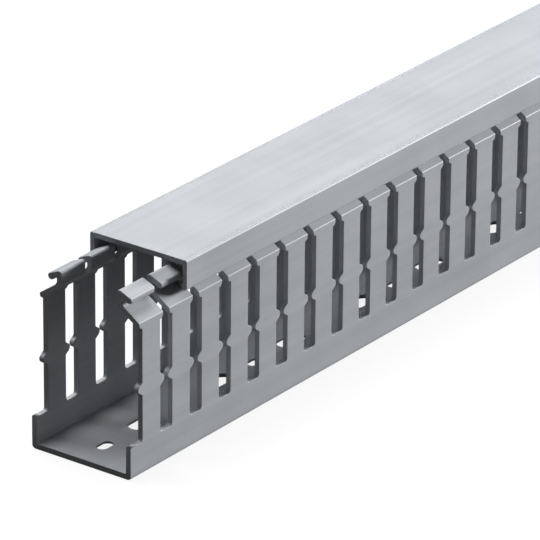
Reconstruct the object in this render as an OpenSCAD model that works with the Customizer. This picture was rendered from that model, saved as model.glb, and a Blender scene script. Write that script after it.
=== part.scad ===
// Slotted wire duct: an extruded and punched base channel with a clip-on cover.
// The duct runs along X, stands on Z = 0 and its base is centred on the origin.
// The head of every finger is one bent strip, which carries the cover's lips.

/* [Stock] */
// Length of the base, and of the cover
duct_len = 500; // [200:10:1000]
// Outside width of the base
base_w = 26; // [20:0.1:60]
// Thickness of the base's walls
wall = 1.25; // [1:0.05:1.5]
// Thickness of the base's floor
floor_t = 1.3; // [0.9:0.05:1.5]
// Radius of the base's two outer bottom edges
bottom_r = 0.8; // [0.3:0.1:1.1]

/* [Side slots] */
// Distance from one slot to the next
pitch = 10; // [8:0.5:20]
// Width of a slot
slot_w = 4; // [3:0.1:6]
// Height of the solid strip below the slots
sill_h = 7.4; // [4:0.1:12]
// Radius of a slot's bottom corners
slot_corner_r = 0.7; // [0.2:0.1:1]
// Gap between two heads, above the slot
head_gap = 2; // [1:0.1:2.5]
// Height at which a slot starts to narrow to that gap
flare_z = 32.9; // [30:0.1:33]
// How far each of the two bumps stands into the slot
bump_out = 1.4; // [0.5:0.05:1.8]
// Length of a bump along the slot
bump_len = 2.9; // [2.6:0.1:6]
// Radius of a bump's tip
bump_r = 1; // [0.5:0.1:1.2]
// Height of the bumps' tips
bump_z = 19.4; // [14:0.1:24]

/* [Heads] */
// Thickness of the bent strip
strip_t = 1.25; // [1:0.05:1.3]
// Height of the bend from the wall to the shoulder
shoulder_z = 34; // [33.9:0.1:36]
// Slope of the shoulder in degrees
shoulder_slope = 34; // [25:1:40]
// Distance that the shoulder reaches inwards
shoulder_run = 3.8; // [3:0.1:4.5]
// Distance from the shoulder's end to the neck
neck_run = 0.75; // [0.5:0.05:1]
// Height of the neck's foot
neck_z = 37.7; // [37.6:0.1:38.2]
// Height of the bend at the top of the neck
crown_z = 39.9; // [39.6:0.05:40.5]
// Slope of the hook, which falls outwards, in degrees
hook_slope = 23.5; // [15:0.5:30]
// Distance that the hook reaches outwards
hook_run = 2.4; // [2:0.1:2.6]
// How far the hook's lip turns down
hook_drop = 0.45; // [0.2:0.05:0.6]

/* [Cover] */
// Outside width of the cover
cover_w = 25.3; // [24.9:0.1:26]
// Height of the cover's top face
cover_top = 42.6; // [42.4:0.1:43.4]
// Thickness of the cover's top
cover_t = 1.2; // [1:0.05:1.2]
// Thickness of the cover's legs
leg_t = 1.1; // [0.9:0.05:1.2]
// Radius of the cover's outer edges
cover_r = 0.9; // [0.5:0.1:1]
// Height of the legs' lower edge
leg_z = 35.8; // [35.7:0.05:36.3]
// Reach of a leg's lip inwards, from the middle of the leg
lip_run = 1.35; // [1.2:0.05:1.4]
// Rise of that lip
lip_rise = 0.5; // [0.3:0.05:0.6]
// Distance that the cover is slid along, away from the near end
cover_setback = 19.3; // [0:0.1:100]

/* [Floor holes] */
// Distance between the fixing slots
fixing_pitch = 26; // [20:0.1:50]
// Distance from the near end to the first fixing slot's middle
fixing_start = 21; // [10:0.1:40]
// Length and width of a fixing slot
fixing_slot = [8, 4];
// Width of the rim drawn up round a fixing slot, at its foot and at its crest
fixing_rim = [8.8, 4.6];
// Height of that rim over the floor
rim_h = 0.4; // [0.2:0.05:0.6]
// Width of the hollow that drawing up the rim left in the underside
fixing_hollow = 7.4; // [4:0.1:8]
// Height of the straight edge at the top of a floor hole
edge_h = 0.5; // [0.2:0.05:0.8]
// Length and width of a pilot slot, between every second pair of fixing slots
pilot_slot = [4.2, 2.4];
// How much wider the pilot slot is at the underside
pilot_hollow = 3.2; // [0:0.1:4]

/* [Hidden] */
$fn = 64;
eps = 0.01;
near_x = -duct_len / 2;
slot_count = floor(duct_len / pitch);
bend_y = base_w / 2 - strip_t / 2;

// The middle of the bent strip: each point is a distance in from the wall's middle, and a height.
shoulder_end = [shoulder_run, shoulder_z + shoulder_run * tan(shoulder_slope)];
neck_foot = [shoulder_run + neck_run, neck_z];
crown = [neck_foot[0], crown_z];
hook_end = [crown[0] - hook_run, crown_z - hook_run * tan(hook_slope)];
hook_lip = [hook_end[0], hook_end[1] - hook_drop];
head_path = [[0, shoulder_z], shoulder_end, neck_foot, crown, hook_end, hook_lip];

fixing_count = floor((duct_len - fixing_start - fixing_slot[0]) / fixing_pitch) + 1;
fixing_xs = [for (i = [0 : fixing_count - 1]) near_x + fixing_start + i * fixing_pitch];
pilot_xs = [for (i = [0 : 2 : fixing_count - 1]) near_x + fixing_start + (i - 0.5) * fixing_pitch];

// A straight length of strip with round ends, from point a to point b. Its sides lie a hair
// inside the round ends, so that each side crosses its circle cleanly.
module strip(a, b, t) {
    run = b - a;
    flat_t = t - eps;
    translate(a) {
        circle(d = t);
        rotate(atan2(run[1], run[0])) translate([0, -flat_t / 2]) square([norm(run), flat_t]);
    }
    translate(b) circle(d = t);
}

module bent_strip(points, t) {
    for (i = [0 : len(points) - 2]) strip(points[i], points[i + 1], t);
}

module both_sides() {
    children();
    mirror([1, 0]) children();
}

// Turns a profile drawn in Y and Z into a bar along X
module extrude_along_x(x, length) {
    translate([x, 0, 0]) rotate([90, 0, 90]) linear_extrude(length) children();
}

// The base's section: floor, walls and bent heads
module base_section() {
    difference() {
        translate([-base_w / 2, 0]) square([base_w, shoulder_z]);
        translate([-base_w / 2 + wall, floor_t]) square([base_w - 2 * wall, shoulder_z]);
        both_sides() translate([base_w / 2 - bottom_r, 0]) difference() {
            translate([0, -eps]) square([bottom_r + eps, bottom_r + eps]);
            translate([0, bottom_r]) circle(bottom_r);
        }
    }
    both_sides() translate([bend_y, 0]) mirror([1, 0]) bent_strip(head_path, strip_t);
}

// One bump at a slot's edge: two flanks that meet its round tip a hair inside the circle
module slot_bump() {
    centre = bump_out - bump_r;
    touch_r = bump_r - eps;
    reach = norm([centre, bump_len / 2]);
    touch = atan2(bump_len / 2, -centre) - acos(touch_r / reach);
    flank = [centre + touch_r * cos(touch), touch_r * sin(touch)];
    translate([0, bump_z]) {
        translate([centre, 0]) circle(bump_r);
        polygon([
            [-eps, bump_len / 2], [0, bump_len / 2], flank,
            [flank[0], -flank[1]], [0, -bump_len / 2], [-eps, -bump_len / 2]
        ]);
    }
}

// One slot as the punch cuts it, drawn in X and Z
module slot_shape() {
    neck_in = (slot_w - head_gap) / 2;
    top = flare_z + neck_in;
    difference() {
        translate([0, sill_h]) square([slot_w, top - sill_h]);
        for (x = [0, slot_w]) translate([x, top]) circle(neck_in);
        slot_bump();
        translate([slot_w, 0]) mirror([1, 0]) slot_bump();
        for (x = [0, slot_w - slot_corner_r]) translate([x, sill_h]) difference() {
            square(slot_corner_r);
            translate([x > 0 ? 0 : slot_corner_r, slot_corner_r]) circle(slot_corner_r);
        }
    }
    translate([neck_in, top - eps]) square([head_gap, cover_top - top]);
}

// The slots of both walls. The near end is sawn where the first slot starts, so that slot is open.
module side_slots() {
    rotate([90, 0, 0]) linear_extrude(base_w + 2, center = true) {
        for (i = [0 : slot_count - 1]) translate([near_x + i * pitch, 0]) slot_shape();
        translate([near_x - 1, sill_h]) square([slot_w / 2 + 1, cover_top - sill_h]);
    }
}

// A bar with round ends, whose width changes from w1 to w2 over its height
module tapered_slot(length, w1, w2, h) {
    span = (length - w1) / 2;
    for (x = [-span, span]) translate([x, 0, 0]) cylinder(h = h, r1 = w1 / 2, r2 = w2 / 2);
    rotate([90, 0, 90]) linear_extrude(2 * span, center = true)
        polygon([[-w1 / 2, 0], [w1 / 2, 0], [w2 / 2, h], [-w2 / 2, h]]);
}

module drawn_rim() {
    foot_length = fixing_slot[0] - fixing_slot[1] + fixing_rim[0];
    translate([0, 0, floor_t]) tapered_slot(foot_length, fixing_rim[0], fixing_rim[1], rim_h);
}

// A floor hole through a floor of height top_z: straight at the top, and hollow under that edge
module floor_hole(slot, hollow, top_z) {
    tapered_slot(slot[0], slot[1], slot[1], top_z + 1);
    tapered_slot(slot[0] - slot[1] + hollow, hollow, slot[1], top_z - edge_h);
}

module duct_base() {
    color([0.62, 0.63, 0.65]) difference() {
        union() {
            extrude_along_x(near_x, duct_len) base_section();
            for (x = fixing_xs) translate([x, 0, 0]) drawn_rim();
        }
        side_slots();
        for (x = fixing_xs)
            translate([x, 0, 0]) floor_hole(fixing_slot, fixing_hollow, floor_t + rim_h);
        for (x = pilot_xs)
            translate([x, 0, 0]) floor_hole(pilot_slot, pilot_slot[1] + pilot_hollow, floor_t);
    }
}

// The cover's section: a flat top, two legs and the lips that hold under the hooks
module cover_section() {
    leg_y = cover_w / 2 - leg_t / 2;
    leg_end = leg_z + leg_t / 2;
    edge = cover_w / 2 - cover_r;
    difference() {
        union() {
            translate([-edge, leg_end]) square([2 * edge, cover_top - leg_end]);
            translate([-cover_w / 2, leg_end]) square([cover_w, cover_top - cover_r - leg_end]);
            for (y = [-edge, edge]) translate([y, cover_top - cover_r]) circle(cover_r);
        }
        translate([-cover_w / 2 + leg_t, leg_end - 1])
            square([cover_w - 2 * leg_t, cover_top - cover_t - leg_end + 1]);
    }
    both_sides() translate([leg_y, leg_end]) strip([0, 0], [-lip_run, lip_rise], leg_t);
}

module cover() {
    color([0.8, 0.82, 0.84]) extrude_along_x(near_x + cover_setback, duct_len) cover_section();
}

duct_base();
cover();
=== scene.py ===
"""Looks of a length of slotted wire duct: a channel with finger walls, and its clip-on cover."""
import math

import bmesh
import bpy
from bpy.props import FloatProperty, FloatVectorProperty, PointerProperty
from bpy.types import Operator, Panel, PropertyGroup
from mathutils import Matrix, Vector


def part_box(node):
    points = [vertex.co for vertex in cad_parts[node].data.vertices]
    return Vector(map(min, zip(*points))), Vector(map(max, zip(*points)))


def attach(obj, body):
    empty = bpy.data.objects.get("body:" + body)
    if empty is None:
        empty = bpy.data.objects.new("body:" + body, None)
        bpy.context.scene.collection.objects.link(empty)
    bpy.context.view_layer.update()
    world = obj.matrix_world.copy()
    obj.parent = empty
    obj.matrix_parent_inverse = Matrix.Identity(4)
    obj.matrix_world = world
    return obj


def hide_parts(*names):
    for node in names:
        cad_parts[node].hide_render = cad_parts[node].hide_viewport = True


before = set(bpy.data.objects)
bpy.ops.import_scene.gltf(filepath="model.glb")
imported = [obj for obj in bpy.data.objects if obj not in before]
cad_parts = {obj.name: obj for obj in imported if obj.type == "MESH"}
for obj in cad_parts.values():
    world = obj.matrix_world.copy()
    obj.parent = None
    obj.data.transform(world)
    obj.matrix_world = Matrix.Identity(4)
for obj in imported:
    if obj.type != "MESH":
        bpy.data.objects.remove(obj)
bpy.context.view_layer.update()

bl_info = {
    "name": "Slotted wire duct",
    "version": (1, 0, 0),
    "blender": (4, 5, 0),
    "location": "3D View > Sidebar > Duct",
    "description": "Makes a length of slotted wire duct with its cover, and a stage to see it on",
    "category": "Object",
}

MM = 0.001
BASE_LOW, BASE_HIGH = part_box("duct_base")
COVER_LOW, COVER_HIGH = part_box("cover")
# Points that lie nearer to each other are merged.
WELD = 0.002 * MM
# A turn with a smaller sine counts as none.
STRAIGHT = 1e-4


def size(name, default, description):
    return FloatProperty(name=name, description=description, default=default, unit="LENGTH", precision=5)


def angle(name, degrees, description):
    return FloatProperty(name=name, description=description, default=math.radians(degrees), subtype="ANGLE")


def colour(name, default, description):
    return FloatVectorProperty(
        name=name, description=description, default=default, size=4, min=0, max=1, subtype="COLOR"
    )


def amount(name, default, description):
    return FloatProperty(name=name, description=description, default=default, min=0)


def power(name, default, description):
    return FloatProperty(name=name, description=description, default=default, unit="POWER")


class DuctBaseSizes(PropertyGroup):
    length: size("Length", BASE_HIGH.x - BASE_LOW.x, "Length of the channel")
    width: size("Width", BASE_HIGH.y - BASE_LOW.y, "Outside width of the channel")
    wall: size("Wall", 1.25 * MM, "Thickness of the walls and the heads")
    floor: size("Floor", 1.3 * MM, "Thickness of the floor")
    bottom_radius: size("Bottom radius", 0.8 * MM, "Radius of the two outer bottom edges")
    pitch: size("Pitch", 10 * MM, "Distance from one slot to the next")
    slot_width: size("Slot width", 4 * MM, "Width of a slot")
    sill: size("Sill", 7.4 * MM, "Height of the solid strip below the slots")
    slot_radius: size("Slot radius", 0.7 * MM, "Radius of a slot's bottom corners")
    head_gap: size("Head gap", 2 * MM, "Gap between two heads")
    flare: size("Flare", 32.9 * MM, "Height at which a slot narrows to that gap")
    bump_out: size("Bump", 1.4 * MM, "How far a bump stands into the slot")
    bump_length: size("Bump length", 2.9 * MM, "Length of a bump along the slot")
    bump_radius: size("Bump radius", 1 * MM, "Radius of a bump's tip")
    bump_height: size("Bump height", 19.4 * MM, "Height of the bumps' tips")
    shoulder: size("Shoulder", 34 * MM, "Height of the bend from the wall to the shoulder")
    shoulder_slope: angle("Shoulder slope", 34, "Slope of the shoulder")
    shoulder_run: size("Shoulder run", 3.8 * MM, "Distance that the shoulder reaches inwards")
    neck_run: size("Neck run", 0.75 * MM, "Distance from the shoulder's end to the neck")
    neck: size("Neck", 37.7 * MM, "Height of the neck's foot")
    crown: size("Crown", 39.9 * MM, "Height of the bend at the top of the neck")
    hook_slope: angle("Hook slope", 23.5, "Slope of the hook, which falls outwards")
    hook_run: size("Hook run", 2.4 * MM, "Distance that the hook reaches outwards")
    hook_drop: size("Hook drop", 1.0 * MM, "Length of the hook's lip, with its round end")
    tip_radius: size("Tip radius", 0.6 * MM, "Radius of a head's two corners")
    tip_bevel: size("Tip rounding", 0.5 * MM, "Rounding of a head's end")
    edge: size("Edge", 0.08 * MM, "Rounding of the punched edges outside")
    break_out: size("Break-out", 0.15 * MM, "Rounding of the punched edges inside, which broke out")
    fixing_pitch: size("Fixing pitch", 26 * MM, "Distance between the fixing slots")
    fixing_start: size("Fixing start", 21 * MM, "Distance from the near end to the first fixing slot")
    fixing_span: size("Fixing span", 2 * MM, "Half the distance between a fixing slot's round ends")
    fixing_width: size("Fixing width", 4 * MM, "Width of a fixing slot")
    fixing_hollow: size("Fixing hollow", 7.4 * MM, "Width of a fixing slot at the underside")
    rim_foot: size("Rim foot", 8.8 * MM, "Width of the rim drawn up round a fixing slot, at the floor")
    rim_bend: size("Rim bend", 6.4 * MM, "Width at which that rim starts to rise, before its rounding")
    rim_crest: size("Rim crest", 4.6 * MM, "Width of that rim at its crest")
    rim_height: size("Rim height", 0.4 * MM, "Height of that rim over the floor")
    hole_edge: size("Hole edge", 0.5 * MM, "Height of the straight edge at the top of a floor hole")
    pilot_span: size("Pilot span", 0.9 * MM, "Half the distance between a pilot slot's round ends")
    pilot_width: size("Pilot width", 2.4 * MM, "Width of a pilot slot")
    pilot_hollow: size("Pilot hollow", 5.6 * MM, "Width of a pilot slot at the underside")


class DuctCoverSizes(PropertyGroup):
    width: size("Width", COVER_HIGH.y - COVER_LOW.y, "Outside width of the cover")
    top: size("Top", COVER_HIGH.z, "Height of the cover's top")
    foot: size("Foot", COVER_LOW.z, "Height of the legs' lower edge")
    thickness: size("Thickness", 1.2 * MM, "Thickness of the cover's top")
    leg: size("Leg", 1.1 * MM, "Thickness of the legs")
    corner_radius: size("Corner radius", 0.55 * MM, "Radius of the two long outer edges")
    groove_in: size("Groove place", 0.95 * MM, "Distance from the side to the groove's middle")
    groove_width: size("Groove width", 0.6 * MM, "Width of the groove in the top, along each side")
    groove_depth: size("Groove depth", 0.12 * MM, "Depth of that groove")
    lip_run: size("Lip run", 1.35 * MM, "Reach of a lip inwards")
    lip_rise: size("Lip rise", 0.5 * MM, "Rise of a lip")
    edge: size("Edge", 0.1 * MM, "Rounding of the sawn ends")


class DuctFinish(PropertyGroup):
    base_colour: colour("Base colour", (0.395, 0.41, 0.432, 1), "Colour of the channel")
    cover_colour: colour("Cover colour", (0.412, 0.43, 0.455, 1), "Colour of the cover")
    line_depth: amount("Line depth", 0.14, "Strength of the lines that the extrusion leaves")
    scuff_depth: amount("Scuffs", 0.35, "Strength of the scuffs")


class DuctStage(PropertyGroup):
    back_power: power("Back lamp", 44, "Power of the lamp behind")
    side_power: power("Side lamp", 375, "Power of the lamp beside")
    fill: amount("Fill", 0.05, "Light that comes from all around")
    floor_glow: amount("Floor glow", 0.86, "Light that the floor shows the camera by itself")
    floor_shown: colour("Floor shown", (0.16, 0.16, 0.16, 1), "Colour that the lamps add to that light")
    floor_colour: colour("Floor colour", (0.1, 0.1, 0.1, 1), "Colour that the floor throws back on the duct")
    lens: FloatProperty(name="Lens", description="Focal length in millimetres", default=360.45, min=1)


# Flat lines and shapes

def face_line(middle, halves, side):
    """The corners of one face of a bent sheet. Its middle line has a half thickness for each stretch;
    side is 1 for the face on the right of the line's way, and -1 for the one on its left."""
    ways = [(b - a).normalized() for a, b in zip(middle, middle[1:])]
    normals = [Vector((way.y, -way.x)) * side for way in ways]
    corners = [middle[0] + normals[0] * halves[0]]
    for point, n1, n2, h1, h2 in zip(middle[1:], normals, normals[1:], halves, halves[1:]):
        turn = n1.x * n2.y - n1.y * n2.x
        if abs(turn) < STRAIGHT:
            corners.append(point + n1 * h1)
        else:
            corners.append(point + Vector((h1 * n2.y - h2 * n1.y, h2 * n1.x - h1 * n2.x)) / turn)
    corners.append(middle[-1] + normals[-1] * halves[-1])
    return corners


def arc(centre, radius, start, turn, steps):
    angles = (start + turn * i / steps for i in range(steps + 1))
    return [centre + radius * Vector((math.cos(a), math.sin(a))) for a in angles]


def rounded_line(corners, radii, steps):
    """The line through the corners, with an arc at each inner one. No steps leave the corner as it is."""
    line = [corners[0]]
    for before, corner, after, radius, count in zip(corners, corners[1:], corners[2:], radii, steps):
        if count == 0:
            line.append(corner)
            continue
        back = (before - corner).normalized()
        ahead = (after - corner).normalized()
        half = back.angle(ahead) / 2
        centre = corner + (back + ahead).normalized() * radius / math.sin(half)
        first = corner + back * radius / math.tan(half) - centre
        start = math.atan2(first.y, first.x)
        turn = math.copysign(math.pi - 2 * half, ahead.x * back.y - ahead.y * back.x)
        line += arc(centre, radius, start, turn, count)
    line.append(corners[-1])
    return line


def mitres(outline):
    """For each point of an outline, the arm that leads into the sheet, on the left of its way."""
    ways = [(b - a).normalized() for a, b in zip(outline, outline[1:])]
    normals = [Vector((-way.y, way.x)) for way in ways]
    pairs = zip([normals[0]] + normals, normals + [normals[-1]])
    return [(a + b) / (1 + a.dot(b)) for a, b in pairs]


def rim_steps(outer, inner, thickness):
    """How far in from the outline, and how deep, the points lie that lead from the outer face round
    a rounded rim to the inner face."""
    angles = [math.radians(a) for a in (0, 45, 90)]
    front = [(outer * (1 - math.sin(a)), outer * (1 - math.cos(a))) for a in angles]
    back = [(inner * (1 - math.sin(a)), thickness - inner * (1 - math.cos(a))) for a in reversed(angles)]
    return front + back


class Sheet:
    """The section of a bent sheet in Y and Z: the points of its two faces, station by station.
    A point of the sheet is given as x, its distance along the sheet, and its depth under the outer
    face. Where the sheet is thicker than its thickness says, depths stretch with it."""

    def __init__(self, outer, inner, thickness):
        self.outer, self.inner, self.thickness = outer, inner, thickness
        centres = [(a + b) / 2 for a, b in zip(outer, inner)]
        self.along = [0.0]
        for a, b in zip(centres, centres[1:]):
            self.along.append(self.along[-1] + (b - a).length)

    def shift(self, station, value):
        """Sets the distance along the sheet to a value at one station."""
        change = value - self.along[station]
        self.along = [a + change for a in self.along]

    def place(self, x, along, depth):
        last = len(self.along) - 2
        k = next((i for i in range(last) if along < self.along[i + 1]), last)
        t = (along - self.along[k]) / (self.along[k + 1] - self.along[k])
        outer = self.outer[k].lerp(self.outer[k + 1], t)
        inner = self.inner[k].lerp(self.inner[k + 1], t)
        y, z = outer.lerp(inner, depth / self.thickness)
        return Vector((x, y, z))

    def add_to(self, bm, rows):
        """Joins rows of the sheet's points with quads."""
        add_grid(bm, [[self.place(*point) for point in row] for row in rows])


# Meshes

def add_grid(bm, rows):
    """Joins rows of points with quads. Doubles are merged later."""
    verts = [[bm.verts.new(point) for point in row] for row in rows]
    for low, high in zip(verts, verts[1:]):
        for a, b, c, d in zip(low, low[1:], high[1:], high):
            bm.faces.new((a, b, c, d))


def add_mirrored(bm):
    """Adds the mirror image of everything across the plane Y = 0."""
    copy = bmesh.ops.duplicate(bm, geom=bm.verts[:] + bm.edges[:] + bm.faces[:])["geom"]
    verts = [v for v in copy if isinstance(v, bmesh.types.BMVert)]
    bmesh.ops.transform(bm, matrix=Matrix.Diagonal((1, -1, 1, 1)), verts=verts)
    bmesh.ops.remove_doubles(bm, verts=bm.verts, dist=WELD)


def mesh_from(bm, name):
    mesh = bpy.data.meshes.new(name)
    bm.to_mesh(mesh)
    bm.free()
    return mesh


def close_mesh(bm, name):
    """Merges the doubles, turns the faces outwards and stops if the mesh isn't closed."""
    bmesh.ops.remove_doubles(bm, verts=bm.verts, dist=WELD)
    bmesh.ops.recalc_face_normals(bm, faces=bm.faces)
    open_edges = [edge for edge in bm.edges if len(edge.link_faces) != 2]
    if open_edges:
        raise RuntimeError(f"{name} has {len(open_edges)} open edges, one at {open_edges[0].verts[0].co[:]}")
    for face in bm.faces:
        face.smooth = True


def baked(thing):
    """The object's mesh as its modifiers leave it. The object is removed."""
    depsgraph = bpy.context.evaluated_depsgraph_get()
    mesh = bpy.data.meshes.new_from_object(thing.evaluated_get(depsgraph))
    bpy.data.objects.remove(thing)
    return mesh


def linked(name, data):
    thing = bpy.data.objects.new(name, data)
    bpy.context.scene.collection.objects.link(thing)
    return thing


def weight_normals(mesh):
    """Gives each vertex the mean normal of its faces, which count by the square of their area."""
    sums = [Vector() for _ in mesh.vertices]
    for face in mesh.polygons:
        area = face.area / (MM * MM)
        for index in face.vertices:
            sums[index] += face.normal * area * area
    mesh.normals_split_custom_set_from_vertices([total.normalized() for total in sums])


def finished_piece(name, bm, material, body, node):
    """Hands the closed mesh over in its node's place, with its material and weighted normals."""
    close_mesh(bm, name)
    mesh = mesh_from(bm, name)
    weight_normals(mesh)
    # This also sets the material index of every face to 0, which the rows had changed.
    mesh.materials.clear()
    mesh.materials.append(material)
    piece = linked(name, mesh)
    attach(piece, body)
    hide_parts(node)


# Geometry Nodes: one shape repeated along X

def row_tree():
    tree = bpy.data.node_groups.new("Row along X", "GeometryNodeTree")
    for name, kind in (
        ("Geometry", "Geometry"), ("Count", "Int"), ("Start", "Float"), ("Spacing", "Float"),
        ("Weld", "Float"), ("Material", "Material"),
    ):
        tree.interface.new_socket(name, in_out="INPUT", socket_type=f"NodeSocket{kind}")
    tree.interface.new_socket("Geometry", in_out="OUTPUT", socket_type="NodeSocketGeometry")
    nodes, links = tree.nodes, tree.links
    given = nodes.new("NodeGroupInput")
    start = nodes.new("ShaderNodeCombineXYZ")
    links.new(given.outputs["Start"], start.inputs["X"])
    offset = nodes.new("ShaderNodeCombineXYZ")
    links.new(given.outputs["Spacing"], offset.inputs["X"])
    line = nodes.new("GeometryNodeMeshLine")
    line.mode = "OFFSET"
    links.new(given.outputs["Count"], line.inputs["Count"])
    links.new(start.outputs["Vector"], line.inputs["Start Location"])
    links.new(offset.outputs["Vector"], line.inputs["Offset"])
    instances = nodes.new("GeometryNodeInstanceOnPoints")
    links.new(line.outputs["Mesh"], instances.inputs["Points"])
    links.new(given.outputs["Geometry"], instances.inputs["Instance"])
    merge = nodes.new("GeometryNodeMergeByDistance")
    realize = nodes.new("GeometryNodeRealizeInstances")
    links.new(instances.outputs["Instances"], realize.inputs["Geometry"])
    links.new(realize.outputs["Geometry"], merge.inputs["Geometry"])
    links.new(given.outputs["Weld"], merge.inputs["Distance"])
    paint = nodes.new("GeometryNodeSetMaterial")
    links.new(merge.outputs["Geometry"], paint.inputs["Geometry"])
    links.new(given.outputs["Material"], paint.inputs["Material"])
    result = nodes.new("NodeGroupOutput")
    links.new(paint.outputs["Geometry"], result.inputs["Geometry"])
    return tree


def add_row(bm, unit, tree, values):
    """Adds the unit mesh, repeated by the tree with these values, to a bmesh."""
    thing = linked("unit", unit)
    row = thing.modifiers.new("Row", "NODES")
    row.node_group = tree
    sockets = {item.name: item.identifier for item in tree.interface.items_tree if item.in_out == "INPUT"}
    for name, value in values.items():
        row[sockets[name]] = value
    bm.from_mesh(baked(thing))


# The channel

# How far the sheet of a wall goes on under the channel, as its floor
FLOOR_REACH = 3.4 * MM
# Height of the wall's two plain stations over the floor, and over the start of the flare
FOOT_RISE = 1 * MM
HEAD_RISE = 0.55 * MM


def base_sheet(s):
    """The section of one wall, from its part of the floor up to the end of its hook."""
    bend_y = s.width / 2 - s.wall / 2
    neck_y = bend_y - s.shoulder_run - s.neck_run
    shoulder_end = s.shoulder + s.shoulder_run * math.tan(s.shoulder_slope)
    hook_end = s.crown - s.hook_run * math.tan(s.hook_slope)
    wall_foot = s.floor + FOOT_RISE
    middle = [
        Vector((bend_y - FLOOR_REACH, s.floor / 2)), Vector((bend_y, s.floor / 2)),
        Vector((bend_y, wall_foot)), Vector((bend_y, s.flare + HEAD_RISE)), Vector((bend_y, s.shoulder)),
        Vector((bend_y - s.shoulder_run, shoulder_end)), Vector((neck_y, s.neck)), Vector((neck_y, s.crown)),
        Vector((neck_y + s.hook_run, hook_end)), Vector((neck_y + s.hook_run, hook_end - s.hook_drop)),
    ]
    halves = [s.floor / 2] + [s.wall / 2] * (len(middle) - 2)
    # Outer radius, inner radius and steps
    bends = [
        (s.bottom_radius, 0.12 * MM, 4),  # Floor to wall
        (0, 0, 0),  # The wall's foot, which is only a station
        (0, 0, 0),  # The wall's head, another station
        (0.45 * MM, 0.25 * MM, 4),  # Wall to shoulder
        (0.5 * MM, 0.8 * MM, 2),  # The shoulder's end
        (0.5 * MM, 0.9 * MM, 2),  # The neck's foot
        (0.25 * MM, 0.7 * MM, 6),  # The crown
        (0.12 * MM, 0.6 * MM, 4),  # Hook to lip
    ]
    outer_radii, inner_radii, steps = zip(*bends)
    outer = rounded_line(face_line(middle, halves, 1), outer_radii, steps)
    inner = rounded_line(face_line(middle, halves, -1), inner_radii, steps)
    sheet = Sheet(outer, inner, s.wall)
    station = next(i for i, point in enumerate(outer) if abs(point.y - wall_foot) < WELD)
    sheet.shift(station, wall_foot)
    return sheet


def sill_stations(s, sheet):
    """The stations below the rounded edge at the sill's top."""
    return [a for a in sheet.along if a < s.sill - s.break_out]


def saw_steps(s):
    """The rim of a sawn end, which has half the rounding of a punched edge."""
    return rim_steps(s.edge / 2, s.edge / 2, s.wall)


def finger_outline(s, sheet):
    """One edge of a finger in X and distance along the sheet, from mid-slot to the middle of its end."""
    half_finger = (s.pitch - s.slot_width) / 2
    half_head = (s.pitch - s.head_gap) / 2
    down = -math.pi / 2
    outline = [Vector((s.pitch / 2, s.sill))]
    corner = Vector((half_finger + s.slot_radius, s.sill + s.slot_radius))
    outline += arc(corner, s.slot_radius, down, down, steps=4)

    centre = Vector((half_finger + s.bump_out - s.bump_radius, s.bump_height))
    foot = Vector((half_finger, s.bump_height - s.bump_length / 2))
    arm = foot - centre
    touch = math.atan2(arm.y, arm.x) + math.acos(s.bump_radius / arm.length)
    outline += [foot] + arc(centre, s.bump_radius, touch, -2 * touch, steps=6)
    outline += [Vector((half_finger, s.bump_height + s.bump_length / 2))]

    neck_in = half_head - half_finger
    outline += arc(Vector((half_finger, s.flare + neck_in)), neck_in, down, -down, steps=4)
    end = sheet.along[-1]
    clear_of_arc = s.flare + neck_in + 0.05 * MM
    clear_of_tip = end - s.tip_radius - 0.02 * MM
    outline += [Vector((half_head, a)) for a in sheet.along if clear_of_arc < a < clear_of_tip]
    tip = Vector((half_head - s.tip_radius, end - s.tip_radius))
    outline += arc(tip, s.tip_radius, 0, -down, steps=3)
    return outline + [Vector((0, end))]


def finger_rim(s, sheet, outline):
    """For each point of a finger's outline, the sheet's points over its rim, rounder towards the tip."""
    end = sheet.along[-1]
    rim = []
    for point, arm in zip(outline, mitres(outline)):
        tip = min(max((point.y - end + 2 * s.tip_radius) / (2 * s.tip_radius), 0), 1)
        outer = s.edge + (s.tip_bevel - s.edge) * tip
        inner = s.break_out + (s.tip_bevel - s.break_out) * tip
        steps = rim_steps(outer, inner, s.wall)
        rim.append([(point.x + arm.x * inset, point.y + arm.y * inset, depth) for inset, depth in steps])
    return rim


def add_finger_face(bm, s, sheet, rim, side, cut_x):
    """Adds the outer face (side 0) or the inner one (side -1) of a finger and its length of sill.
    Where cut_x is given, the face ends there on the right."""
    join_x, join_along, depth = rim[0][side]
    corner_x, corner_along, _ = rim[1][side]
    rows = []
    for points in rim[1:-1]:
        x, along, _ = points[side]
        right = x if cut_x is None else cut_x
        rows.append([(-x, along, depth), (0, along, depth), (right, along, depth)])
    last = rim[-1][side][1]
    rows[-1][1] = (0, last, depth)
    if cut_x is not None:
        rows[-1][2] = (cut_x, last, depth)
    sheet.add_to(bm, rows)

    top = [(-join_x, join_along), (-corner_x, corner_along), (0, corner_along)]
    if cut_x is None:
        top += [(corner_x, corner_along), (join_x, join_along)]
    else:
        top += [(cut_x, corner_along)]
    sill_rows = [[(x, a, depth) for x, _ in top] for a in sill_stations(s, sheet)]
    sill_rows.append([(x, along, depth) for x, along in top])
    sheet.add_to(bm, sill_rows)


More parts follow.
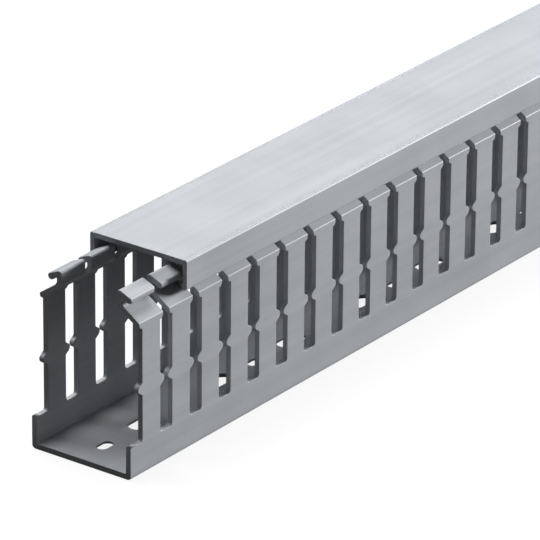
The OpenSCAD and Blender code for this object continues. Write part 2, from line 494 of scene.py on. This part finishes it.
def add_finger(bm, s, sheet, right_cut=None):
    """Adds one finger with its length of sill, from mid-slot to mid-slot. Where right_cut is given,
    the finger is sawn off there instead, from the floor to its head."""
    rim = finger_rim(s, sheet, finger_outline(s, sheet))
    saw = saw_steps(s)
    sheet.add_to(bm, [[(-x, along, depth) for x, along, depth in points] for points in rim])
    if right_cut is None:
        sheet.add_to(bm, rim)
    else:
        cut_rows = [
            [(right_cut - inset, a, depth) for inset, depth in saw] for a in sill_stations(s, sheet)
        ]
        cut_rows += [
            [(right_cut - inset, along, depth) for (inset, _), (_, along, depth) in zip(saw, points)]
            for points in rim[1:-2] + rim[-1:]
        ]
        sheet.add_to(bm, cut_rows)
        sheet.add_to(bm, [rim[-1], cut_rows[-1]])
    for side in (0, -1):
        cut_x = None if right_cut is None else right_cut - saw[side][0]
        add_finger_face(bm, s, sheet, rim, side, cut_x)


def add_near_sill(bm, s, sheet, join_x, cut_x):
    """Adds the short length of sill between the sawn near end and the first finger's length."""
    top = rim_steps(s.edge, s.break_out, s.wall)
    saw = saw_steps(s)
    corner = [(cut_x + out, s.sill - inset, depth) for (out, _), (inset, depth) in zip(saw, top)]
    join = [(join_x, s.sill - inset, depth) for inset, depth in top]
    sheet.add_to(bm, [join, corner])
    cut_rows = [[(cut_x + out, a, depth) for out, depth in saw] for a in sill_stations(s, sheet)]
    cut_rows.append(corner)
    sheet.add_to(bm, cut_rows)
    for side in (0, -1):
        sheet.add_to(bm, [[row[side], (join_x, *row[side][1:])] for row in cut_rows])


def add_floor_end(bm, s, sheet, cut_x, inwards):
    """Adds the floor's sawn end between the two walls."""
    row = [sheet.place(cut_x + inwards * inset, sheet.along[0], depth) for inset, depth in saw_steps(s)]
    add_grid(bm, [row, [Vector((p.x, -p.y, p.z)) for p in row]])


def slot_loop(span, radius, z, segments):
    """A closed loop of points round a slot with round ends."""
    half = segments // 2
    points = []
    for x, start in ((span, -math.pi / 2), (-span, math.pi / 2)):
        for i in range(half + 1):
            a = start + math.pi * i / half
            points.append(Vector((x + radius * math.cos(a), radius * math.sin(a), z)))
    return points + points[:1]


def slot_mesh(name, span, line, segments):
    """The surface that a line of radius and height makes round a slot."""
    bm = bmesh.new()
    add_grid(bm, [slot_loop(span, point.x, point.y, segments) for point in line])
    bmesh.ops.remove_doubles(bm, verts=bm.verts, dist=WELD)
    return mesh_from(bm, name)


def fixing_slot_mesh(s):
    hole = s.fixing_width / 2
    crest = s.floor + s.rim_height
    margin = 0.5 * MM
    corners = [
        Vector((s.rim_foot / 2 + margin, s.floor)), Vector((s.rim_bend / 2, s.floor)),
        Vector((s.rim_crest / 2, crest)), Vector((hole, crest)), Vector((hole, crest - s.hole_edge)),
        Vector((s.fixing_hollow / 2, 0)),
    ]
    # Radius and steps
    bends = [
        (3 * MM, 5),  # The rim's foot
        (0.3 * MM, 3),  # Its crest
        (s.edge, 2),  # The hole's upper edge
        (0.15 * MM, 2),  # Where the hollow starts
    ]
    return slot_mesh("fixing slot", s.fixing_span, rounded_line(corners, *zip(*bends)), segments=40)


def pilot_slot_mesh(s):
    hole = s.pilot_width / 2
    corners = [
        Vector((hole + s.edge, s.floor)), Vector((hole, s.floor - s.edge)),
        Vector((hole, s.floor - s.hole_edge)), Vector((s.pilot_hollow / 2, 0)),
    ]
    bends = [(0, 0), (0.2 * MM, 2)]
    return slot_mesh("pilot slot", s.pilot_span, rounded_line(corners, *zip(*bends)), segments=32)


def fill_level(bm, z):
    """Fills the open edges that lie at one height with triangles, round the holes."""
    edges = [
        edge for edge in bm.edges
        if len(edge.link_faces) == 1 and all(abs(v.co.z - z) < WELD for v in edge.verts)
    ]
    bmesh.ops.triangle_fill(bm, edges=edges, use_beauty=True)


class DUCT_OT_base(Operator):
    """Make the channel: floor, walls cut into fingers, bent heads and floor slots"""
    bl_idname = "duct.base"
    bl_label = "Make channel"

    def execute(self, context):
        s = context.scene.duct_base
        finish = context.scene.duct_finish
        material = pvc_material("base_pvc", finish.base_colour, finish)
        tree = row_tree()
        sheet = base_sheet(s)
        near = -s.length / 2
        count = round(s.length / s.pitch) - 1
        first = near + s.slot_width / 2 + s.pitch / 2

        unit = bmesh.new()
        add_finger(unit, s, sheet)
        add_mirrored(unit)
        bm = bmesh.new()
        row = {"Count": count, "Start": first, "Spacing": s.pitch, "Weld": WELD, "Material": material}
        add_row(bm, mesh_from(unit, "finger pair"), tree, row)

        ends = bmesh.new()
        add_finger(ends, s, sheet, right_cut=(s.pitch - s.slot_width) / 2)
        bmesh.ops.translate(ends, vec=(first + count * s.pitch, 0, 0), verts=ends.verts)
        add_near_sill(ends, s, sheet, near + s.slot_width / 2, near)
        add_mirrored(ends)
        add_floor_end(ends, s, sheet, near, 1)
        add_floor_end(ends, s, sheet, -near, -1)
        bm.from_mesh(mesh_from(ends, "ends"))

        fixings = int((s.length - s.fixing_start - 2 * s.fixing_width) / s.fixing_pitch) + 1
        start = near + s.fixing_start
        row.update(Count=fixings, Start=start, Spacing=s.fixing_pitch)
        add_row(bm, fixing_slot_mesh(s), tree, row)
        row.update(Count=(fixings + 1) // 2, Start=start - s.fixing_pitch / 2, Spacing=2 * s.fixing_pitch)
        add_row(bm, pilot_slot_mesh(s), tree, row)

        bmesh.ops.remove_doubles(bm, verts=bm.verts, dist=WELD)
        fill_level(bm, 0)
        fill_level(bm, s.floor)
        finished_piece("duct_channel", bm, material, body="base", node="duct_base")
        return {"FINISHED"}


# The cover

def cover_sheet(s):
    """The cover's section from one lip up its leg to the middle of the top."""
    leg_y = s.width / 2 - s.leg / 2
    leg_end = s.foot + s.leg / 2
    top = s.top - s.thickness / 2
    groove_y = s.width / 2 - s.groove_in
    groove_ys = [groove_y + s.groove_width / 2, groove_y, groove_y - s.groove_width / 2]
    round_end = 0.5 * MM
    lip_top = leg_end + s.lip_rise + round_end * s.lip_rise / s.lip_run
    middle = [
        Vector((leg_y - s.lip_run - round_end, lip_top)), Vector((leg_y, leg_end)), Vector((leg_y, top)),
        *(Vector((y, top)) for y in groove_ys), Vector((0, top)),
    ]
    halves = [s.leg / 2, s.leg / 2] + [s.thickness / 2] * 4
    outer = face_line(middle, halves, 1)
    inner = face_line(middle, halves, -1)
    # The groove's middle is sunk, and its stations inside are moved clear of the leg.
    outer[4].y -= s.groove_depth
    for corner in inner[3:6]:
        corner.x -= s.leg
    # Outer radius, inner radius and steps
    bends = [
        (0.55 * MM, 0.15 * MM, 6),  # Lip to leg
        (s.corner_radius, 0.3 * MM, 6),  # Leg to top
        (0.15 * MM, 0, 2), (0.1 * MM, 0, 2), (0.3 * MM, 0, 2),  # The groove's side, middle and side
    ]
    outer_radii, inner_radii, steps = zip(*bends)
    return Sheet(rounded_line(outer, outer_radii, steps), rounded_line(inner, inner_radii, steps), s.leg)


def add_half_cover(bm, s, sheet):
    """Adds the half of the cover from one lip to the middle of the top."""
    saw = rim_steps(s.edge, s.edge, s.leg)
    lip_rounding = s.leg / 2 - 0.02 * MM
    lip = rim_steps(lip_rounding, lip_rounding, s.leg)
    start = sheet.along[0]
    stations = [a for a in sheet.along if a > start + s.leg]
    low, high = COVER_LOW.x, COVER_HIGH.x
    lip_ends = []
    for cut, inwards in ((low, 1), (high, -1)):
        lip_end = [
            (cut + inwards * out, start + inset, depth) for (out, _), (inset, depth) in zip(saw, lip)
        ]
        rows = [[(cut + inwards * out, a, depth) for out, depth in saw] for a in stations]
        sheet.add_to(bm, [lip_end] + rows)
        lip_ends.append(lip_end)
    sheet.add_to(bm, lip_ends)
    for side in (0, -1):
        out, depth = saw[side]
        levels = [start + lip[side][0]] + stations
        sheet.add_to(bm, [[(x, a, depth) for x in (low + out, high - out)] for a in levels])


class DUCT_OT_cover(Operator):
    """Make the cover: a flat top, two legs and the lips that hold under the hooks"""
    bl_idname = "duct.cover"
    bl_label = "Make cover"

    def execute(self, context):
        s = context.scene.duct_cover
        finish = context.scene.duct_finish
        material = pvc_material("cover_pvc", finish.cover_colour, finish)
        bm = bmesh.new()
        add_half_cover(bm, s, cover_sheet(s))
        add_mirrored(bm)
        finished_piece("duct_cover", bm, material, body="cover", node="cover")
        return {"FINISHED"}


# Materials

# Share by which the tint gets darker and lighter
TINT_SPREAD = 0.13
# Roughness that cut faces have more, and that scuffs have more for each unit of their depth
CUT_DULLING = 0.18
SCUFF_DULLING = 1 / 3
BUMP_DISTANCE = 0.05 * MM


def noise(tree, vector, scale, detail, roughness):
    node = tree.nodes.new("ShaderNodeTexNoise")
    node.inputs["Scale"].default_value = scale
    node.inputs["Detail"].default_value = detail
    node.inputs["Roughness"].default_value = roughness
    tree.links.new(vector, node.inputs["Vector"])
    return node.outputs["Fac"]


def stretched(tree, vector, factors):
    node = tree.nodes.new("ShaderNodeVectorMath")
    node.operation = "MULTIPLY"
    node.inputs[1].default_value = factors
    tree.links.new(vector, node.inputs[0])
    return node.outputs["Vector"]


def ranged(tree, value, low, high, to_low=0.0, to_high=1.0):
    """Takes the range from low to high to another one, smoothly at both ends."""
    node = tree.nodes.new("ShaderNodeMapRange")
    node.interpolation_type = "SMOOTHSTEP"
    node.inputs["From Min"].default_value = low
    node.inputs["From Max"].default_value = high
    node.inputs["To Min"].default_value = to_low
    node.inputs["To Max"].default_value = to_high
    tree.links.new(value, node.inputs["Value"])
    return node.outputs["Result"]


def spread(tree, value, to_low, to_high):
    """Takes the middle of a noise's range, where nearly all of it lies, to another range."""
    return ranged(tree, value, low=0.3, high=0.7, to_low=to_low, to_high=to_high)


def maths(tree, operation, a, b):
    node = tree.nodes.new("ShaderNodeMath")
    node.operation = operation
    for socket, value in zip(node.inputs, (a, b)):
        if isinstance(value, (int, float)):
            socket.default_value = value
        else:
            tree.links.new(value, socket)
    return node.outputs["Value"]


def added_up(tree, total, *others):
    for other in others:
        total = maths(tree, "ADD", total, other)
    return total


def fill_extrusion_lines(tree, given, result):
    """Fine lines and broad bands that run the length of an extrusion."""
    along = stretched(tree, given["Vector"], (0.006, 1, 1))
    tree.links.new(noise(tree, along, scale=2600, detail=3, roughness=0.6), result["Fine"])
    slow = stretched(tree, given["Vector"], (0.02, 1, 1))
    tree.links.new(noise(tree, slow, scale=420, detail=2, roughness=0.5), result["Bands"])


def fill_handling(tree, given, result):
    """Cloudy unevenness, grain, and the short scuffs that handling and stacking leave."""
    vector = given["Vector"]
    tree.links.new(noise(tree, vector, scale=60, detail=3, roughness=0.55), result["Clouds"])
    tree.links.new(noise(tree, vector, scale=9000, detail=2, roughness=0.6), result["Grain"])
    along = stretched(tree, vector, (0.1, 1, 1))
    scratches = noise(tree, along, scale=1500, detail=2, roughness=0.5)
    marks = ranged(tree, scratches, low=0.66, high=0.74)
    places = noise(tree, vector, scale=45, detail=2, roughness=0.5)
    patches = ranged(tree, places, low=0.52, high=0.66)
    tree.links.new(maths(tree, "MULTIPLY", marks, patches), result["Scuffs"])


def fill_cut_faces(tree, given, result):
    """Where a face looks along the duct, as sawn ends and punched edges do, and the marks on it."""
    parts = tree.nodes.new("ShaderNodeSeparateXYZ")
    tree.links.new(given["Normal"], parts.inputs["Vector"])
    facing = maths(tree, "ABSOLUTE", parts.outputs["X"], 0)
    tree.links.new(ranged(tree, facing, low=0.7, high=0.95), result["Mask"])
    across = stretched(tree, given["Vector"], (1, 1, 0.08))
    tree.links.new(noise(tree, across, scale=5200, detail=3, roughness=0.65), result["Marks"])


def placed_group(tree, name, fill, outputs, **sources):
    """Places the shader group of that name, with its inputs linked to the sources. The first time,
    the group is made, and fill puts its nodes in."""
    group = bpy.data.node_groups.get(name)
    if group is None:
        group = bpy.data.node_groups.new(name, "ShaderNodeTree")
        for label in sources:
            group.interface.new_socket(label, in_out="INPUT", socket_type="NodeSocketVector")
        for label in outputs:
            group.interface.new_socket(label, in_out="OUTPUT", socket_type="NodeSocketFloat")
        given, result = group.nodes.new("NodeGroupInput"), group.nodes.new("NodeGroupOutput")
        fill(group, given.outputs, result.inputs)
    node = tree.nodes.new("ShaderNodeGroup")
    node.node_tree = group
    for label, source in sources.items():
        tree.links.new(source, node.inputs[label])
    return node.outputs


def shade(tree, lines, wear, tint):
    """The tint, darker in places and lighter in others. Its lengthwise bands are partly the extrusion's own
    streaks and partly painted shade and light of shallow ribs.
    """
    mix = tree.nodes.new("ShaderNodeMix")
    mix.data_type = "RGBA"
    mix.inputs["A"].default_value = [c * (1 - TINT_SPREAD) for c in tint[:3]] + [1]
    mix.inputs["B"].default_value = [min(c * (1 + TINT_SPREAD), 1) for c in tint[:3]] + [1]
    # Lengthwise bands: partly the extrusion's own streaks, partly painted shade and light of shallow ribs
    bands = spread(tree, lines["Bands"], 0, 0.35)
    clouds = spread(tree, wear["Clouds"], 0.15, 0.4)
    fine = spread(tree, lines["Fine"], 0, 0.12)
    tree.links.new(added_up(tree, bands, clouds, fine), mix.inputs["Factor"])
    return mix.outputs["Result"]


def dullness(tree, wear, cuts, finish):
    """The roughness: satin, duller at scuffs, and matt where the PVC was cut."""
    satin = spread(tree, wear["Clouds"], 0.41, 0.44)
    scuffed = maths(tree, "MULTIPLY", wear["Scuffs"], finish.scuff_depth * SCUFF_DULLING)
    return added_up(tree, satin, scuffed, maths(tree, "MULTIPLY", cuts["Mask"], CUT_DULLING))


def relief(tree, lines, wear, cuts, finish):
    """The normals of lines, bands and grain, of the marks on cut faces, and of scuffs."""
    uncut = maths(tree, "SUBTRACT", 1, cuts["Mask"])
    fine = maths(tree, "MULTIPLY", lines["Fine"], uncut)
    bands = maths(tree, "MULTIPLY", lines["Bands"], 0.8)
    grain = maths(tree, "MULTIPLY", wear["Grain"], 0.25)
    sawn = maths(tree, "MULTIPLY", maths(tree, "MULTIPLY", cuts["Marks"], cuts["Mask"]), 2)
    scuffs = maths(tree, "MULTIPLY", wear["Scuffs"], finish.scuff_depth)
    height = maths(tree, "SUBTRACT", added_up(tree, fine, bands, grain, sawn), scuffs)
    bump = tree.nodes.new("ShaderNodeBump")
    bump.inputs["Strength"].default_value = finish.line_depth
    bump.inputs["Distance"].default_value = BUMP_DISTANCE
    tree.links.new(height, bump.inputs["Height"])
    return bump.outputs["Normal"]


def pvc_material(name, tint, finish):
    """Satin rigid PVC: extruded, so it is lined lengthwise, and matt where it was cut."""
    material = bpy.data.materials.new(name)
    material.use_nodes = True
    tree = material.node_tree
    source = tree.nodes.new("ShaderNodeTexCoord").outputs
    vector, normal = source["Object"], source["Normal"]
    lines = placed_group(tree, "Extrusion lines", fill_extrusion_lines, ["Fine", "Bands"], Vector=vector)
    wear = placed_group(tree, "Handling", fill_handling, ["Clouds", "Scuffs", "Grain"], Vector=vector)
    cuts = placed_group(tree, "Cut faces", fill_cut_faces, ["Mask", "Marks"], Vector=vector, Normal=normal)
    inputs = tree.nodes["Principled BSDF"].inputs
    tree.links.new(shade(tree, lines, wear, tint), inputs["Base Color"])
    tree.links.new(dullness(tree, wear, cuts, finish), inputs["Roughness"])
    tree.links.new(relief(tree, lines, wear, cuts, finish), inputs["Normal"])
    return material


# The stage

# The camera as it was fitted to the photograph
CAMERA_PLACE = Vector((-1036.3, -628.43, 489.49)) * MM
CAMERA_WAY = Vector((0.73575, 0.54299, -0.40477))
CAMERA_ROLL = math.radians(0.463)


def seen_directly(tree):
    """1 for camera and transmission rays, and 0 for the light that falls on the duct."""
    path = tree.nodes.new("ShaderNodeLightPath")
    return maths(tree, "MAXIMUM", path.outputs["Is Camera Ray"], path.outputs["Is Transmission Ray"])


def floor_material(stage):
    """A near-white floor that keeps a soft shadow, and throws little light back on the duct."""
    material = bpy.data.materials.new("stage_floor")
    material.use_nodes = True
    nodes, links = material.node_tree.nodes, material.node_tree.links
    nodes.remove(nodes["Principled BSDF"])
    glow = nodes.new("ShaderNodeEmission")
    glow.inputs["Strength"].default_value = stage.floor_glow
    pale = nodes.new("ShaderNodeBsdfDiffuse")
    pale.inputs["Color"].default_value = stage.floor_shown
    shown = nodes.new("ShaderNodeAddShader")
    links.new(glow.outputs["Emission"], shown.inputs[0])
    links.new(pale.outputs["BSDF"], shown.inputs[1])
    plain = nodes.new("ShaderNodeBsdfDiffuse")
    plain.inputs["Color"].default_value = stage.floor_colour
    mix = nodes.new("ShaderNodeMixShader")
    links.new(seen_directly(material.node_tree), mix.inputs["Fac"])
    links.new(plain.outputs["BSDF"], mix.inputs[1])
    links.new(shown.outputs["Shader"], mix.inputs[2])
    links.new(mix.outputs["Shader"], nodes["Material Output"].inputs["Surface"])
    return material


def add_floor(stage):
    half = 6
    bm = bmesh.new()
    corners = [(-half, -half, 0), (half, -half, 0), (half, half, 0), (-half, half, 0)]
    bm.faces.new([bm.verts.new(corner) for corner in corners])
    mesh = mesh_from(bm, "stage_floor")
    mesh.materials.append(floor_material(stage))
    linked("stage_floor", mesh)


def looking(place, way):
    """The placement of a lamp or a camera that looks the given way."""
    return Matrix.Translation(place) @ way.to_track_quat("-Z", "Y").to_matrix().to_4x4()


def add_lamp(name, place, target, width, watts):
    light = bpy.data.lights.new(name, "AREA")
    light.shape = "DISK"
    light.size = width
    light.energy = watts
    lamp = linked(name, light)
    lamp.matrix_world = looking(place, Vector(target) - Vector(place))


def add_world(stage):
    world = bpy.data.worlds.new("white_surround")
    world.use_nodes = True
    tree = world.node_tree
    strength = ranged(tree, seen_directly(tree), low=0, high=1, to_low=stage.fill)
    inputs = tree.nodes["Background"].inputs
    inputs["Color"].default_value = (1, 1, 1, 1)
    tree.links.new(strength, inputs["Strength"])
    bpy.context.scene.world = world


def add_camera(stage):
    camera = linked("camera", bpy.data.cameras.new("camera"))
    camera.matrix_world = looking(CAMERA_PLACE, CAMERA_WAY) @ Matrix.Rotation(CAMERA_ROLL, 4, "Z")
    camera.data.lens = stage.lens
    camera.data.sensor_width = 36
    camera.data.clip_start = 0.01
    camera.data.clip_end = 30
    bpy.context.scene.camera = camera


class DUCT_OT_stage(Operator):
    """Make the floor, the lamps, the white surround and the camera"""
    bl_idname = "duct.stage"
    bl_label = "Make stage"

    def execute(self, context):
        stage = context.scene.duct_stage
        add_floor(stage)
        add_world(stage)
        add_lamp(
            "lamp_back", place=(0.2, 0.68, 1.5), target=(0, 0, 0), width=1.5, watts=stage.back_power
        )
        add_lamp(
            "lamp_side", place=(3.7, -1.45, 0.6), target=(0, 0, 0.02), width=1, watts=stage.side_power
        )
        add_camera(stage)
        context.scene.view_settings.view_transform = "Standard"
        return {"FINISHED"}


class DUCT_PT_panel(Panel):
    """Lists the pieces of the duct and its stage"""
    bl_idname = "DUCT_PT_panel"
    bl_label = "Slotted wire duct"
    bl_space_type = "VIEW_3D"
    bl_region_type = "UI"
    bl_category = "Duct"

    def draw(self, context):
        for key, group in GROUPS.items():
            box = self.layout.box()
            if key in OPERATORS:
                box.operator(OPERATORS[key].bl_idname)
            for name in group.__annotations__:
                box.prop(getattr(context.scene, key), name)


GROUPS = {
    "duct_base": DuctBaseSizes, "duct_cover": DuctCoverSizes,
    "duct_finish": DuctFinish, "duct_stage": DuctStage,
}
OPERATORS = {"duct_base": DUCT_OT_base, "duct_cover": DUCT_OT_cover, "duct_stage": DUCT_OT_stage}
CLASSES = [*GROUPS.values(), *OPERATORS.values(), DUCT_PT_panel]


def register():
    for item in CLASSES:
        bpy.utils.register_class(item)
    for name, group in GROUPS.items():
        setattr(bpy.types.Scene, name, PointerProperty(type=group))


def unregister():
    for name in GROUPS:
        delattr(bpy.types.Scene, name)
    for item in reversed(CLASSES):
        bpy.utils.unregister_class(item)


def main():
    register()
    bpy.ops.duct.base()
    bpy.ops.duct.cover()
    bpy.ops.duct.stage()


if __name__ == "__main__":
    main()
